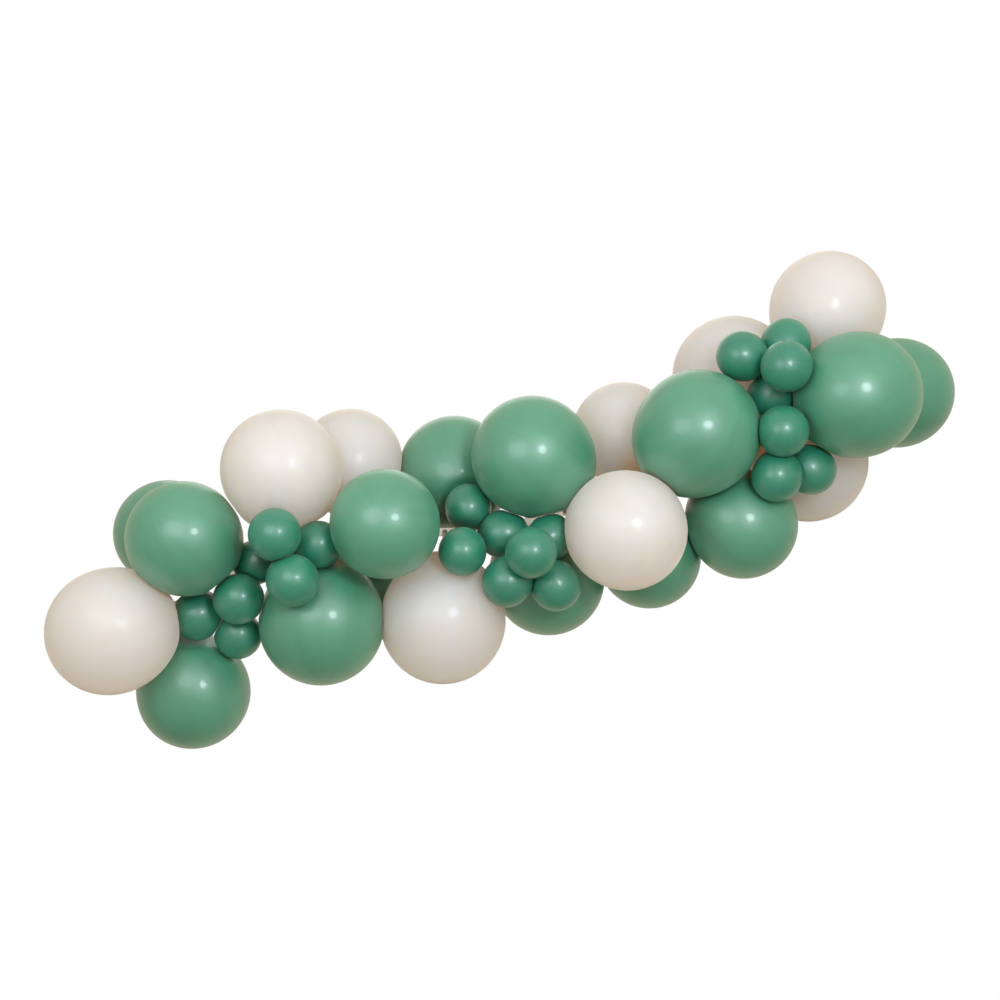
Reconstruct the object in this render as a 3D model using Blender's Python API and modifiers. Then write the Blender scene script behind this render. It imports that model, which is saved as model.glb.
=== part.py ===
# Balloon garland: large cream and green latex balloons tied to a clear strip, with threes and
# fours of small green balloons tucked between them. Metres, +Z up, +Y towards the wall.
# The origin is the middle of the right-hand tab's back face, which lies on the wall.

import math

import bmesh
import bpy
from mathutils import Vector
from mathutils.geometry import interpolate_bezier, intersect_point_line

# Driving sizes
LARGE_DIAMETER = 0.25  # a large balloon, blown up for a garland
SMALL_DIAMETER = 0.108  # a small one
GAP = 0.0003  # between pieces that press on each other

# The clear strip
STRIP_WIDTH = 0.018
STRIP_THICKNESS = 0.001
HOLE_DIAMETER = 0.009
HOLE_COUNT = 30
LEFT_MARGIN = 0.025  # from the left-hand bend to the first hole
RIGHT_MARGIN = 0.055  # from the last hole to the right-hand bend
BEND_RADIUS = 0.012
TAB_LENGTH = 0.06
PUNCH_DEPTH = 6  # how deep the punch for the holes is, in thicknesses of the strip

# A large balloon's tail: neck, and the knot behind the strip
NECK_STRETCH = 1.12  # how much longer the neck half of a blown balloon is than a half ball
ROOT_DEPTH = 0.9  # how far out inside the balloon its neck starts, as a share of the radius
NECK_RADIUS = 0.0035
NECK_ROOT = 0.022  # radius of the neck where it opens into the balloon
KNOT_RADIUS = 0.006
KNOT_LENGTH = 0.013
NECK_STANDOFF = 0.006  # from the strip's middle to the neck that lies beside it

# A small balloon's tail
SMALL_NECK_RADIUS = 0.002
SMALL_NECK_ROOT = 0.008
SMALL_KNOT_RADIUS = 0.0032
SMALL_KNOT_LENGTH = 0.006
SMALL_KNOT_REACH = 0.005  # from the middle of a three or four to each of its knots

# Facets
LARGE_SIDES, LARGE_RINGS = 12, 7
SMALL_SIDES, SMALL_RINGS = 8, 5
HOLE_SIDES = 6
ROUTE_STEPS = 3  # straight lengths between two points of the strip's route

# Places are written in centimetres at the size in the photograph, as across, back, up. The
# balloons hold one another apart, so the places spread and close up with LARGE_DIAMETER. A small
# balloon stands off its knots by its own length, and so goes by the small centimetre.
CENTIMETRE = LARGE_DIAMETER / 25
SMALL_CENTIMETRE = SMALL_DIAMETER / 10.8 * NECK_STRETCH / 1.12
WALL_DEPTH = 28.5  # just behind the rearmost balloons

STRIP_ROUTE = [
    (-76, 0, -26.5), (-60, 0.5, -16), (-42.5, 1.5, -9), (-23.5, 3, -7.5), (-3, 4, -6.5),
    (17, 5, -2), (37, 5.5, 4.5), (56.5, 6, 14.5), (69, 6.5, 21.5), (77.5, 6.5, 29.5),
]

# Each large balloon: the hole it is tied at, the place of its middle, and its size as a share
LARGE_BALLOONS = {
    "cream": [
        (1, (-81.5, -14, -27.5), 1.06),
        (6, (-46.5, -10, 6.5), 1.02),
        (8, (-34, 10, 9), 0.94),
        (12, (-12.5, -1, -26.5), 1.10),
        (17, (27, -10, -6.5), 1.02),
        (21, (28.5, 15, 15.5), 0.94),
        (24, (53.5, 13, 28.5), 1.10),
        (28, (73.5, 6, 43), 1.02),
        (25, (71, 14, 8.5), 1.08),
    ],
    "green": [
        (2, (-75, 8, -7.5), 0.96),
        (3, (-66.5, -13, -8), 0.96),
        (0, (-67.5, 1, -42.5), 0.98),
        (7, (-38.5, -5, -26.5), 1.08),
        (9, (-28.5, 16, -21), 0.92),
        (10, (-24, -15, -5), 0.92),
        (13, (-10.5, 15, 6.5), 1.04),
        (18, (7, -3, 9.5), 1.06),
        (14, (11, 10, -18), 1.02),
        (19, (34, 11, -13), 0.94),
        (20, (42.5, -7, 14.5), 1.08),
        (22, (54, 3, -5.5), 0.96),
        (27, (76.5, -8, 22.5), 1.08),
        (29, (91, 12, 24.5), 1.00),
    ],
}

# Each three or four of small balloons: the large one it leans on, where its knots meet, and for
# each balloon the place of its middle, from there, and its size as a share
SMALL_CLUSTERS = [
    ("large_green_04", (-59.5, -3, -21.5), [
        ((-6, -2, -3.5), 1.00), ((2.5, 0, -8), 0.95), ((4, -7, 0.5), 1.00),
    ]),
    ("large_cream_02", (-47, -12.5, -12), [
        ((-6, 7.5, -1.5), 0.90), ((1, -8.5, 5), 1.00), ((8.5, 1.5, 2.5), 0.95),
        ((4.5, -7.5, -4.5), 1.00),
    ]),
    ("large_green_08", (-7.5, -4, -7.5), [
        ((0.5, 4, 6), 0.95), ((-0.5, -6, -3.5), 0.95), ((8.5, 2, 0), 1.00),
    ]),
    ("large_green_09", (6, -7.5, -12), [
        ((5, 3.5, 4), 0.95), ((0.5, -7.5, 1), 1.00), ((-4.5, -1.5, -5.5), 1.00),
        ((6, 0.5, -6.5), 1.00),
    ]),
    ("large_green_11", (62, -7, 27.5), [
        ((-10, 1, 3.5), 1.00), ((0, 3, 6.5), 1.00), ((-2, -7, 0.5), 1.00), ((-3.0, 4.0, -5.0), 0.97),
    ]),
    ("large_green_12", (60, -5, 11), [
        ((-0.5, -8, 3.5), 1.00), ((-1, -4, -6), 1.00), ((7.5, 1, -4.5), 1.00),
    ]),
]

# Finishes: colour, roughness
CREAM_LATEX = ("cream latex", (0.86, 0.79, 0.70), 0.38)
GREEN_LATEX = ("green latex", (0.20, 0.47, 0.33), 0.36)
DEEP_GREEN_LATEX = ("deep green latex", (0.06, 0.30, 0.21), 0.34)
CLEAR_PLASTIC = ("clear plastic", (0.85, 0.88, 0.88), 0.25)


def clear_scene():
    for obj in list(bpy.data.objects):
        bpy.data.objects.remove(obj)


def new_collection(name):
    collection = bpy.data.collections.new(name)
    bpy.context.scene.collection.children.link(collection)
    return collection


def finish(spec):
    name, colour, roughness = spec
    material = bpy.data.materials.new(name)
    material.use_nodes = True
    shader = material.node_tree.nodes["Principled BSDF"]
    shader.inputs["Base Color"].default_value = (*colour, 1)
    shader.inputs["Roughness"].default_value = roughness
    shader.inputs["Metallic"].default_value = 0
    return material


def new_object(name, bm, collection, place, material=None):
    mesh = bpy.data.meshes.new(name)
    bm.to_mesh(mesh)
    bm.free()
    obj = bpy.data.objects.new(name, mesh)
    obj.location = place
    collection.objects.link(obj)
    if material:
        mesh.materials.append(material)
    return obj


def add_boolean(obj, other, operation):
    modifier = obj.modifiers.new(operation.lower(), "BOOLEAN")
    modifier.operation = operation
    modifier.object = other
    modifier.solver = "EXACT"


def hide_cutter(obj):
    obj.hide_render = True
    obj.display_type = "WIRE"


# The strip's path

def smooth_route(points):
    """Points along a smooth curve through the given ones."""
    tangents = [
        (points[min(i + 1, len(points) - 1)] - points[max(i - 1, 0)]) / 2
        for i in range(len(points))
    ]
    route = [points[0]]
    for i in range(len(points) - 1):
        start, end = points[i], points[i + 1]
        stretch = interpolate_bezier(
            start, start + tangents[i] / 3, end - tangents[i + 1] / 3, end, ROUTE_STEPS + 1
        )
        route += stretch[1:]
    return route


def bend(corner, before, after):
    """The arc that rounds a square corner, from the direction before it to the one after."""
    centre = corner + (after - before) * BEND_RADIUS
    turns = [math.radians(angle) for angle in (0, 30, 60, 90)]
    return [
        centre + (before * math.sin(turn) - after * math.cos(turn)) * BEND_RADIUS
        for turn in turns
    ]


def strip_end(end, outward, wall_y):
    """From the main run's end: a bend back to the wall, a bend outward, and the tab."""
    to_wall = Vector((0, 1, 0))
    on_wall = Vector((end.x, wall_y - STRIP_THICKNESS / 2, end.z))
    tab_end = on_wall + outward * (TAB_LENGTH + BEND_RADIUS)
    return bend(end, outward, to_wall) + bend(on_wall, to_wall, outward) + [tab_end]


def flat_direction(step):
    return Vector((step.x, 0, step.z)).normalized()


def width_direction(step):
    """Across the strip's width, in the plane of the wall."""
    along = flat_direction(step)
    return Vector((-along.z, 0, along.x))


def place_along(route, distance):
    """The point at this distance along the route, and the direction of its stretch."""
    for start, end in zip(route, route[1:]):
        step = end - start
        if distance <= step.length or end == route[-1]:
            return start + step.normalized() * distance, step.normalized()
        distance -= step.length


def route_length(route):
    return sum((b - a).length for a, b in zip(route, route[1:]))


class Strip:
    """The strip's path, and the middle and facing of each of its holes."""

    def __init__(self):
        route = [Vector(point) * CENTIMETRE for point in STRIP_ROUTE]
        self.wall_y = WALL_DEPTH * CENTIMETRE
        self.run = smooth_route(route)
        left_step = self.run[0] - self.run[1]
        right_step = self.run[-1] - self.run[-2]
        left = strip_end(self.run[0], flat_direction(left_step), self.wall_y)
        right = strip_end(self.run[-1], flat_direction(right_step), self.wall_y)
        self.path = left[::-1] + self.run[1:-1] + right
        widths = [width_direction(-left_step)] * len(left)
        widths += [width_direction(b - a) for a, b in zip(self.run, self.run[2:])]
        self.widths = widths + [width_direction(right_step)] * len(right)
        self.tab_middle = right[-1] - flat_direction(right_step) * TAB_LENGTH / 2
        pitch = (route_length(self.run) - LEFT_MARGIN - RIGHT_MARGIN) / (HOLE_COUNT - 1)
        self.holes = [
            place_along(self.run, LEFT_MARGIN + number * pitch) for number in range(HOLE_COUNT)
        ]

    def facing(self, number):
        """Straight out of the strip's rear face at a hole."""
        along = self.holes[number][1]
        return width_direction(along).cross(along).normalized()


# Balloons

class Balloon:
    """One balloon's size, place and tail, before its neighbours press it flat."""

    def __init__(self, name, place, radius, neck_end, neck_radii, spec, facets):
        self.name = name
        self.place = place
        self.radius = radius
        self.neck_end = neck_end
        self.spec = spec
        self.facets = facets
        self.neck = (neck_end[0][0] - place).normalized()
        self.tail = self.neck_start(*neck_radii) + neck_end

    def neck_start(self, root, thin):
        """The neck from inside the balloon to where it has narrowed."""
        pole = self.radius * NECK_STRETCH
        to_tie = (self.neck_end[0][0] - self.place).length
        narrowed = min(pole + thin * 2, to_tie - thin)
        return [
            (self.place + self.neck * self.radius * ROOT_DEPTH, root),
            (self.place + self.neck * narrowed, thin * 1.5),
        ]


def knot_profile(start, along, length, knot_radius, neck_radius):
    """A knot: the neck swells, and narrows again to its end."""
    return [
        (start, neck_radius),
        (start + along * length / 2, knot_radius),
        (start + along * length, neck_radius),
    ]


def large_balloon(name, hole, place, share, spec, strip, origin):
    """The neck lies beside the strip, turns through its hole and is knotted behind it."""
    centre = Vector(place) * CENTIMETRE - origin
    hole_middle = strip.holes[hole][0] - origin
    facing = strip.facing(hole)
    behind = -facing if (centre - hole_middle).dot(facing) > 0 else facing
    knot_start = hole_middle + behind * (STRIP_THICKNESS / 2 + GAP)
    beside_strip = (hole_middle - behind * NECK_STANDOFF, NECK_RADIUS)
    knot = knot_profile(knot_start, behind, KNOT_LENGTH, KNOT_RADIUS, NECK_RADIUS)
    return Balloon(
        name, centre, LARGE_DIAMETER * share / 2, [beside_strip] + knot,
        (NECK_ROOT, NECK_RADIUS), spec, (LARGE_SIDES, LARGE_RINGS),
    )


def knots_middle(meeting, leans_on, origin):
    """Where a three's or four's knots meet, held off the large balloon by the small ones."""
    away = Vector(meeting) * CENTIMETRE - origin - leans_on.place
    stand_off = (away.length - leans_on.radius) / CENTIMETRE * SMALL_CENTIMETRE
    return leans_on.place + away.normalized() * (leans_on.radius + stand_off)


def small_balloon(name, middle, place, share):
    """The neck runs straight to the knots of its three or four."""
    outward = Vector(place).normalized()
    knot_start = middle + outward * (SMALL_KNOT_REACH + SMALL_KNOT_LENGTH)
    knot = knot_profile(
        knot_start, -outward, SMALL_KNOT_LENGTH, SMALL_KNOT_RADIUS, SMALL_NECK_RADIUS
    )
    return Balloon(
        name, middle + Vector(place) * SMALL_CENTIMETRE, SMALL_DIAMETER * share / 2, knot,
        (SMALL_NECK_ROOT, SMALL_NECK_RADIUS), DEEP_GREEN_LATEX, (SMALL_SIDES, SMALL_RINGS),
    )


def nearest_on(start, end, point):
    share = intersect_point_line(point, start, end)[1]
    return start.lerp(end, min(max(share, 0), 1))


def press(bm, towards, distance):
    """Cuts the balloon flat, square to this direction, at this distance from its middle."""
    geometry = bm.verts[:] + bm.edges[:] + bm.faces[:]
    cut = bmesh.ops.bisect_plane(
        bm, geom=geometry, plane_co=towards * distance, plane_no=towards, clear_outer=True
    )
    rim = [item for item in cut["geom_cut"] if isinstance(item, bmesh.types.BMEdge)]
    if rim:
        bmesh.ops.edgeloop_fill(bm, edges=rim)


def press_on_neighbour(bm, balloon, other):
    """Two balloons share a flat contact, where two soap bubbles of their sizes would meet."""
    apart = other.place - balloon.place
    distance = apart.length
    if distance > (balloon.radius + other.radius) * NECK_STRETCH:
        return
    share = (distance ** 2 + balloon.radius ** 2 - other.radius ** 2) / (2 * distance)
    press(bm, apart.normalized(), share - GAP / 2)


def press_clear_of(bm, balloon, start, end, thickness):
    """Keeps the balloon off a neck, a knot or a stretch of the strip."""
    nearest = nearest_on(start, end, balloon.place)
    away = nearest - balloon.place
    room = away.length - thickness - GAP
    if room < balloon.radius * NECK_STRETCH:
        press(bm, away.normalized(), room)


def body_mesh(balloon, balloons, strip_path):
    bm = bmesh.new()
    sides, rings = balloon.facets
    bmesh.ops.create_uvsphere(bm, u_segments=sides, v_segments=rings, radius=balloon.radius)
    for vert in bm.verts:
        if vert.co.z > 0:
            vert.co.z *= NECK_STRETCH
    turn = Vector((0, 0, 1)).rotation_difference(balloon.neck)
    bmesh.ops.rotate(bm, verts=bm.verts, cent=(0, 0, 0), matrix=turn.to_matrix())
    for start, end in zip(strip_path, strip_path[1:]):
        press_clear_of(bm, balloon, start, end, STRIP_WIDTH / 2)
    for other in balloons:
        if other is balloon:
            continue
        press_on_neighbour(bm, balloon, other)
        for (start, r_start), (end, r_end) in zip(other.tail[1:], other.tail[2:]):
            press_clear_of(bm, balloon, start, end, max(r_start, r_end))
    bmesh.ops.remove_doubles(bm, verts=bm.verts, dist=GAP / 3)
    return bm


def tail_object(balloon, cutters):
    """The neck and knot as a mesh, ready to be joined to the balloon's body."""
    curve = bpy.data.curves.new(balloon.name + "_tail", "CURVE")
    curve.dimensions = "3D"
    curve.bevel_depth = 1
    curve.bevel_resolution = 1
    curve.use_fill_caps = True
    spline = curve.splines.new("POLY")
    spline.points.add(len(balloon.tail) - 1)
    for point, (place, radius) in zip(spline.points, balloon.tail):
        point.co = (*(place - balloon.place), 1)
        point.radius = radius
    guide = bpy.data.objects.new(curve.name, curve)
    cutters.objects.link(guide)
    bpy.context.view_layer.update()
    evaluated = guide.evaluated_get(bpy.context.evaluated_depsgraph_get())
    bm = bmesh.new()
    bm.from_mesh(bpy.data.meshes.new_from_object(evaluated))
    bmesh.ops.remove_doubles(bm, verts=bm.verts, dist=GAP / 3)
    bmesh.ops.recalc_face_normals(bm, faces=bm.faces)
    bpy.data.objects.remove(guide)
    obj = new_object(balloon.name + "_tail", bm, cutters, balloon.place)
    hide_cutter(obj)
    return obj


def make_balloon(balloon, balloons, strip_path, parts, cutters, material):
    bm = body_mesh(balloon, balloons, strip_path)
    obj = new_object(balloon.name, bm, parts, balloon.place, material)
    obj.data.shade_smooth()
    add_boolean(obj, tail_object(balloon, cutters), "UNION")


def make_strip(strip, origin, parts, cutters, material):
    bm = bmesh.new()
    lengths = len(strip.path) - 1
    bmesh.ops.create_grid(bm, x_segments=lengths, y_segments=1, size=0.5)
    for vert in bm.verts:
        step = round((vert.co.x + 0.5) * lengths)
        across = strip.widths[step] * STRIP_WIDTH * (0.5 if vert.co.y > 0 else -0.5)
        vert.co = strip.path[step] + across - origin
    obj = new_object("strip", bm, parts, (0, 0, 0), material)
    thicken = obj.modifiers.new("thickness", "SOLIDIFY")
    thicken.thickness = STRIP_THICKNESS
    thicken.offset = 0
    thicken.use_even_offset = True
    punch = bmesh.new()
    for number, (middle, _) in enumerate(strip.holes):
        pin = bmesh.ops.create_cone(
            punch, cap_ends=True, segments=HOLE_SIDES, radius1=HOLE_DIAMETER / 2,
            radius2=HOLE_DIAMETER / 2, depth=STRIP_THICKNESS * PUNCH_DEPTH,
        )
        turn = Vector((0, 0, 1)).rotation_difference(strip.facing(number)).to_matrix()
        bmesh.ops.rotate(punch, verts=pin["verts"], cent=(0, 0, 0), matrix=turn)
        bmesh.ops.translate(punch, verts=pin["verts"], vec=middle - origin)
    holes = new_object("strip_holes", punch, cutters, (0, 0, 0))
    hide_cutter(holes)
    add_boolean(obj, holes, "DIFFERENCE")


def main():
    clear_scene()
    parts = new_collection("balloon_garland")
    cutters = new_collection("joined_and_cut")
    strip = Strip()
    origin = Vector((strip.tab_middle.x, strip.wall_y, strip.tab_middle.z))
    specs = {"cream": CREAM_LATEX, "green": GREEN_LATEX}
    materials = {
        spec: finish(spec)
        for spec in (CREAM_LATEX, GREEN_LATEX, DEEP_GREEN_LATEX, CLEAR_PLASTIC)
    }
    balloons = []
    for colour, rows in LARGE_BALLOONS.items():
        for number, (hole, place, share) in enumerate(rows, 1):
            name = f"large_{colour}_{number:02d}"
            balloons.append(large_balloon(name, hole, place, share, specs[colour], strip, origin))
    named = {balloon.name: balloon for balloon in balloons}
    for leans_on, meeting, members in SMALL_CLUSTERS:
        middle = knots_middle(meeting, named[leans_on], origin)
        for place, share in members:
            number = len(balloons) - len(named) + 1
            balloons.append(small_balloon(f"small_green_{number:02d}", middle, place, share))
    strip_path = [point - origin for point in strip.path]
    for balloon in balloons:
        make_balloon(balloon, balloons, strip_path, parts, cutters, materials[balloon.spec])
    make_strip(strip, origin, parts, cutters, materials[CLEAR_PLASTIC])


main()
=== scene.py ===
# %% [markdown]
# # A balloon garland
# The real thing is a clear plastic strip with holes. Large latex balloons are tied through the
# holes, and threes and fours of small ones are knotted together and tucked into the gaps.
# Every balloon presses on its neighbours, so it is round where it is free and flat where it
# leans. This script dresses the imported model: it measures each balloon there, blows up a smooth
# skin in its place, and gives the latex and the plastic their finish.

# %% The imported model
import math

import bmesh
import bpy
import numpy as np
from mathutils import Matrix, Vector


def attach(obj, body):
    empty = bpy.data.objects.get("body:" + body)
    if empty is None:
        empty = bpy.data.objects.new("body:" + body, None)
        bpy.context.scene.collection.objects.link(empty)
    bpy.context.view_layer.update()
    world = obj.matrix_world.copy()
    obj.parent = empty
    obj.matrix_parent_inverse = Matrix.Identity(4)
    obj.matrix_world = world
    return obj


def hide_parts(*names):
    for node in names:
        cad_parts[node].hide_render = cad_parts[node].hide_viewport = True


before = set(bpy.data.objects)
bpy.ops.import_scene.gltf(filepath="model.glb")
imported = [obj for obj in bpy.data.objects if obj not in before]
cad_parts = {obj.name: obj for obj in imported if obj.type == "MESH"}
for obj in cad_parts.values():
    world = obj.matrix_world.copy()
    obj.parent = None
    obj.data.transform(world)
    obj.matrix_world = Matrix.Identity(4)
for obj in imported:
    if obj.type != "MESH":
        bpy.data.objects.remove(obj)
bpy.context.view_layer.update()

balloon_names = sorted(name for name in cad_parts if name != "strip")

# %% [markdown]
# ## Camera
# The garland hangs in front of the photographer, who stands square to the wall, level with its
# middle and a little under three metres from it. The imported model's origin is the right-hand
# tab on the wall, so the camera's place is measured from there. The angle of view is worked out
# from how much of the wall the picture takes in.

# %% The camera, level and square to the wall
CAMERA_PLACE = Vector((-0.8043, -3.185, -0.3251))   # from the right-hand tab, in metres
PLANE_DISTANCE = 2.9    # from the camera to the balloons' middle plane
PICTURE_SIDE = 2.2      # how much of that plane the picture takes in


def added(name, data):
    """A new object in the scene."""
    obj = bpy.data.objects.new(name, data)
    bpy.context.scene.collection.objects.link(obj)
    return obj


camera_data = bpy.data.cameras.new("camera")
camera_data.lens = camera_data.sensor_width / 2 / (PICTURE_SIDE / 2 / PLANE_DISTANCE)
camera = added("camera", camera_data)
camera.location = CAMERA_PLACE
camera.rotation_euler = (math.radians(90), 0, 0)
bpy.context.scene.camera = camera
print("lens", round(camera_data.lens, 1), "mm")

# %% [markdown]
# ## Measuring a balloon
# A packed balloon is a coarse solid with flats cut into it, a neck and a knot. The half of it
# away from the neck is part of a true ball, so its corners give the ball's middle and radius
# exactly: a ball is fitted through each corner and its neighbours, and the one that takes in
# the most corners on the far side from the knot is kept. Fitting to what is there was chosen
# over typing the places in again, because the skin then follows the model wherever it goes.

# %% The corners of a node
ON_THE_BALL = 5e-6      # how close a corner lies to its ball or its flat cap, in metres


def corners_of(name):
    """The places of a node's corners, each once, and the numbers of each one's neighbours."""
    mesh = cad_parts[name].data
    places = np.array([vert.co for vert in mesh.vertices], float)
    places, group = np.unique(places, axis=0, return_inverse=True)
    group = group.reshape(-1)
    neighbours = [set() for _ in places]
    for edge in mesh.edges:
        a, b = group[edge.vertices[0]], group[edge.vertices[1]]
        if a != b:
            neighbours[a].add(b)
            neighbours[b].add(a)
    return places, neighbours


def ball_through(points):
    """Middle and radius of the ball that fits these points best."""
    rows = np.c_[2 * points, np.ones(len(points))]
    found = np.linalg.lstsq(rows, (points ** 2).sum(1), rcond=None)[0]
    return found[:3], math.sqrt(max(found[3] + found[:3] @ found[:3], 0))


def on_ball(places, middle, radius):
    return np.abs(np.linalg.norm(places - middle, axis=1) - radius) < ON_THE_BALL


# %% The ball of a balloon's crown half
RADIUS_RANGE = (0.03, 0.16)     # of any balloon, in metres
BALL_POINTS = 4                 # how many points settle a ball


def crown_ball(places, neighbours):
    """Middle and radius of the ball that most of the corners away from the knot lie on."""
    datum = places.mean(0)
    local = places - datum
    best, most = None, 0
    for i, near in enumerate(neighbours):
        near = sorted(near)
        for group in ([i] + near, [i] + near[:3], [i] + near[1:4], [i] + near[-3:]):
            if len(set(group)) < BALL_POINTS:
                continue
            middle, radius = ball_through(local[group])
            if not RADIUS_RANGE[0] < radius < RADIUS_RANGE[1]:
                continue
            away = local - middle
            far_end = away[np.argmax((away ** 2).sum(1))]
            count = (on_ball(local, middle, radius) & (away @ far_end < 0)).sum()
            if count > most:
                best, most = (middle, radius), count
    middle, radius = ball_through(local[on_ball(local, *best)])
    return middle + datum, radius


# %% [markdown]
# ## Measuring the neck and knot
# The tail of a packed balloon is a chain of six-cornered rings. It is read from its end
# backwards: first the flat cap, then each ring next to the last. The middles of the rings are
# the line that the neck follows, and a large balloon's has the turn through the strip's hole.

# %% The rings of a tail
RING_CORNERS = 6
NEAR_CAP = 0.02         # how far round the tail's end its cap is looked for


def unit(direction):
    return direction / np.linalg.norm(direction)


def flat_ring(places, neighbours, corner):
    """The six corners of the flat cap that this corner is on, if it is on the cap."""
    close = np.flatnonzero(np.linalg.norm(places - places[corner], axis=1) < NEAR_CAP)
    for a in neighbours[corner]:
        for b in neighbours[corner] & neighbours[a]:
            normal = np.cross(places[a] - places[corner], places[b] - places[corner])
            height = (places[close] - places[corner]) @ unit(normal)
            flat = close[np.abs(height) < ON_THE_BALL]
            if height.max() < ON_THE_BALL and len(flat) == RING_CORNERS:
                return set(flat)
    return None


def cap_ring(places, neighbours, middle):
    """The corners of the flat cap at the end of the tail."""
    for corner in np.argsort(-np.linalg.norm(places - middle, axis=1)):
        ring = flat_ring(places, neighbours, corner)
        if ring:
            return ring


def tail_of(places, neighbours, middle, most_rings):
    """Middle and radius of each ring of the tail, from the balloon outwards."""
    ring = cap_ring(places, neighbours, middle)
    seen, rings = set(), []
    while len(ring) == RING_CORNERS and len(rings) < most_rings:
        seen |= ring
        corners = places[sorted(ring)]
        centre = corners.mean(0)
        rings.append((centre, np.linalg.norm(corners - centre, axis=1).mean()))
        ring = {b for a in ring for b in neighbours[a]} - seen
    return rings[::-1]


# %% Every balloon measured
LARGE_RINGS, SMALL_RINGS = 5, 3     # of a packed tail


class Balloon:
    """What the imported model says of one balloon."""

    def __init__(self, name):
        places, neighbours = corners_of(name)
        self.name = name
        self.large = name.startswith("large")
        self.middle, self.radius = crown_ball(places, neighbours)
        self.tail = tail_of(places, neighbours, self.middle, LARGE_RINGS if self.large else SMALL_RINGS)
        self.neck = unit(self.tail[0][0] - self.middle)
        self.presses = []       # direction and room of each contact


balloons = [Balloon(name) for name in balloon_names]
for balloon in balloons:
    print(
        balloon.name, np.round(balloon.middle, 3), "radius", round(balloon.radius * 1000, 1),
        "tail", [round(float(r) * 1000, 1) for _, r in balloon.tail],
    )

# %% [markdown]
# ## Measuring the strip
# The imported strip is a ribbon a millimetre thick. Two of its corners that lie a strip's width
# apart, level with each other, are the two edges of one place along it, so pairing them gives
# the middle line and the direction across. The corners that have no such partner belong to the
# punched holes, and their groups give each hole's middle.

# %% The strip's line and its holes
STRIP_WIDTH = 0.018
STRIP_THICKNESS = 0.001
HOLE_RADIUS = 0.0045
PAIRED = 1e-6           # how exactly two corners lie a strip's width apart
PLACE_REACH = 1.5 * STRIP_THICKNESS     # takes in both faces at one place along the strip
RIM_REACH = 2.2 * HOLE_RADIUS           # takes in the whole rim of one hole


def distances(places):
    """How far each place is from each other one."""
    return np.linalg.norm(places[:, None] - places[None], axis=2)


def gathered(places, reach):
    """Groups of the places that lie within reach of the first of their group."""
    near = distances(places) < reach
    left, groups = set(range(len(places))), []
    while left:
        group = sorted(set(np.flatnonzero(near[min(left)])) & left)
        groups.append(group)
        left -= set(group)
    return groups


def in_order(places):
    """The numbers of the places as a walk meets them, from the leftmost to the nearest left."""
    left = set(range(len(places)))
    order = [int(np.argmin(places[:, 0]))]
    left.remove(order[0])
    while left:
        nearest = min(left, key=lambda i: np.linalg.norm(places[i] - places[order[-1]]))
        order.append(nearest)
        left.remove(nearest)
    return order


strip_corners, _ = corners_of("strip")
pairs = np.argwhere(np.triu(np.abs(distances(strip_corners) - STRIP_WIDTH) < PAIRED))
step = strip_corners[pairs[:, 1]] - strip_corners[pairs[:, 0]]
pairs, step = pairs[np.abs(step[:, 1]) < PAIRED], step[np.abs(step[:, 1]) < PAIRED]
pair_middles = strip_corners[pairs].mean(1)
stations = gathered(pair_middles, PLACE_REACH)
strip_line = np.array([pair_middles[group].mean(0) for group in stations])
strip_across = np.array([step[group[0]] / STRIP_WIDTH for group in stations])
walk = in_order(strip_line)
strip_line, strip_across = strip_line[walk], strip_across[walk]
rims = np.delete(strip_corners, np.unique(pairs), axis=0)
strip_holes = np.array([rims[group].mean(0) for group in gathered(rims, RIM_REACH)])
print(len(strip_line), "places along the strip,", len(strip_holes), "holes")

# %% [markdown]
# ## Where the balloons press
# Two balloons that lean on each other share a flat, where two soap bubbles of their sizes would
# meet. A balloon also stays off the strip and off the other balloons' necks and knots. Each
# such contact is kept as a direction from the balloon's middle and the room it has that way.
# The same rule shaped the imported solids, so the skins don't run into one another.

# %% Flats between neighbours
GAP = 0.0003            # between skins that press on each other
NECK_STRETCH = 1.12     # how much longer the neck half is than a half ball


def add_press(balloon, to_contact, room):
    if room < balloon.radius * NECK_STRETCH:
        balloon.presses.append((unit(to_contact), room))


def press_on(balloon, other):
    to_other = other.middle - balloon.middle
    between = np.linalg.norm(to_other)
    if between < (balloon.radius + other.radius) * NECK_STRETCH:
        share = (between ** 2 + balloon.radius ** 2 - other.radius ** 2) / (2 * between)
        add_press(balloon, to_other, share - GAP / 2)


def keep_off(balloon, start, end, thickness):
    """Keeps a balloon off a straight stretch of something this thick."""
    along = end - start
    share = np.clip((balloon.middle - start) @ along / (along @ along), 0, 1)
    to_stretch = start + along * share - balloon.middle
    add_press(balloon, to_stretch, np.linalg.norm(to_stretch) - thickness - GAP)


for balloon in balloons:
    for start, end in zip(strip_line, strip_line[1:]):
        keep_off(balloon, start, end, STRIP_WIDTH / 2)
    for other in balloons:
        if other is not balloon:
            press_on(balloon, other)
            for (start, r_start), (end, r_end) in zip(other.tail, other.tail[1:]):
                keep_off(balloon, start, end, max(r_start, r_end))
print("contacts", sum(len(balloon.presses) for balloon in balloons))

# %% [markdown]
# ## The line of a skin
# A latex balloon is a turned shape: a ball towards the crown, a slightly longer half towards
# the neck, a cone of creases where the neck is drawn out, and past that a knot and the rolled
# lip of the mouth. So its skin is described as rings along one line, each with a radius. The
# line is straight inside the balloon and then follows the neck through the strip's hole.

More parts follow.
